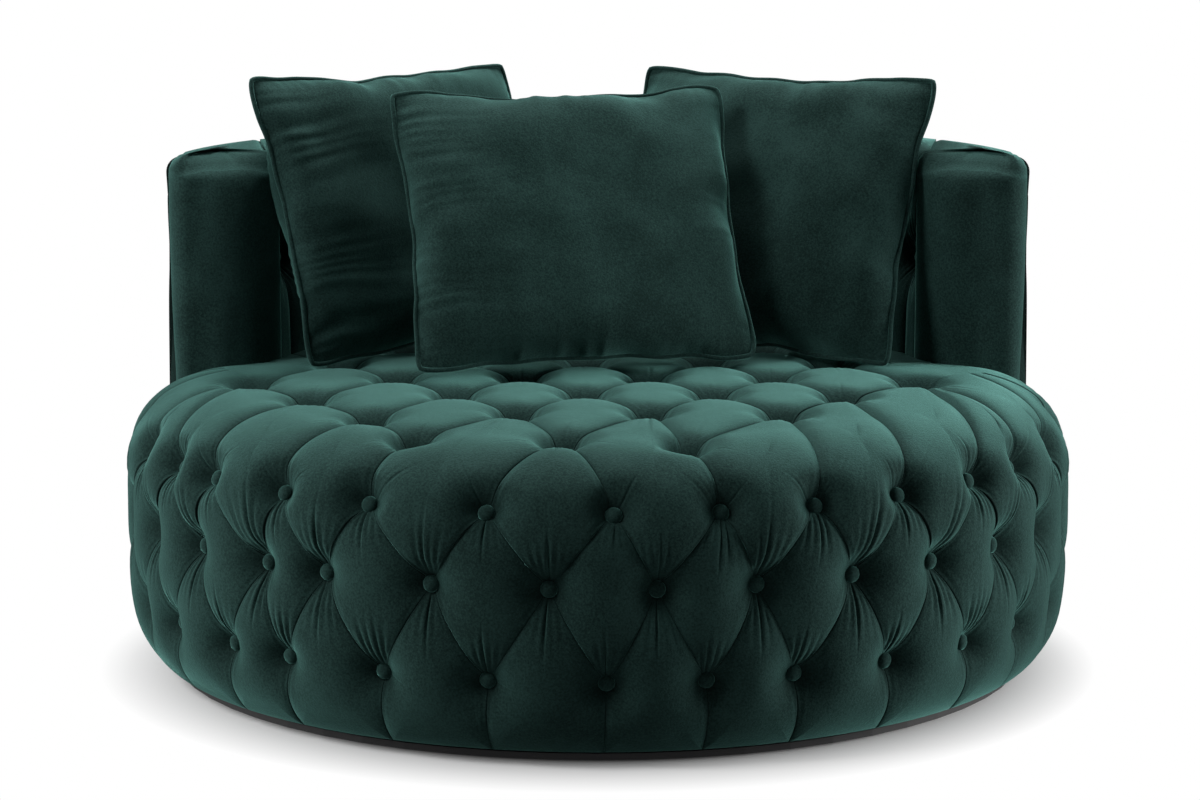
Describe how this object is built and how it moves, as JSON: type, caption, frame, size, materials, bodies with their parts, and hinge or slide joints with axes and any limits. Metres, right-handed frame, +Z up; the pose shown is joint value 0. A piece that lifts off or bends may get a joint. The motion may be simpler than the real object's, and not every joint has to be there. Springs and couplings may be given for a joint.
{
  "type": "loveseat",
  "caption": "Round drum-shaped swivel loveseat with a deep-buttoned seat, a low buttoned wrap-round back and loose piped scatter pillows",
  "frame": {"origin": "on the floor, under the middle of the round seat", "axes": "+Z is up, the front of the seat faces -Y, +X is to the right as seen from the front"},
  "size_m": [1.3208, 1.328, 0.8193],
  "materials": {
    "velvet": "cut velvet",
    "velvet_pillow": "cut velvet",
    "plinth_black": "black paint",
    "felt": "pressed felt",
    "steel": "zinc plated",
    "nylon": "satin",
    "plywood": "unfinished",
    "hardboard": "unfinished",
    "webbing": "woven",
    "foam": "open cell foam"
  },
  "bodies": {
    "floor_base": {"glide_pad_1": "felt", "glide_pad_2": "felt", "glide_pad_3": "felt", "glide_pad_4": "felt", "glide_pad_5": "felt", "glide_pad_6": "felt", "floor_plinth": "plinth_black", "turntable_lower_plate": "steel", "turntable_ball_1": "steel", "turntable_ball_2": "steel", "turntable_ball_3": "steel", "turntable_ball_4": "steel", "turntable_ball_5": "steel", "turntable_ball_6": "steel"},
    "seat": {"turntable_upper_plate": "steel", "anti_tip_slider_1": "nylon", "anti_tip_slider_2": "nylon", "anti_tip_slider_3": "nylon", "anti_tip_slider_4": "nylon", "base_board": "plywood", "drum_post_1": "plywood", "drum_post_2": "plywood", "drum_post_3": "plywood", "drum_post_4": "plywood", "drum_post_5": "plywood", "drum_post_6": "plywood", "drum_post_7": "plywood", "drum_post_8": "plywood", "seat_ring": "plywood", "deck_ring": "plywood", "drum_skin": "hardboard", "seat_webbing": "webbing", "seat_foam": "foam", "seat_cover": "velvet", "side_cover": "velvet", "back_bottom_rail": "plywood", "back_top_rail": "plywood", "back_post_1": "plywood", "back_post_2": "plywood", "back_post_3": "plywood", "back_post_4": "plywood", "back_post_5": "plywood", "back_bolt_1": "steel", "back_bolt_2": "steel", "back_bolt_3": "steel", "back_bolt_4": "steel", "back_inner_skin": "hardboard", "back_outer_skin": "hardboard", "back_inner_cover": "velvet", "back_outer_cover": "velvet", "arm_front_left": "velvet", "arm_front_right": "velvet", "pillow_left": "velvet_pillow", "piping_left": "velvet_pillow", "pillow_right": "velvet_pillow", "piping_right": "velvet_pillow", "pillow_front": "velvet_pillow", "piping_front": "velvet_pillow"}
  },
  "joints": [
    {"name": "seat_swivel", "type": "hinge", "parent": "floor_base", "child": "seat", "pos_m": [0, 0, 0.0161], "axis": [0, 0, 1], "continuous": true}
  ]
}
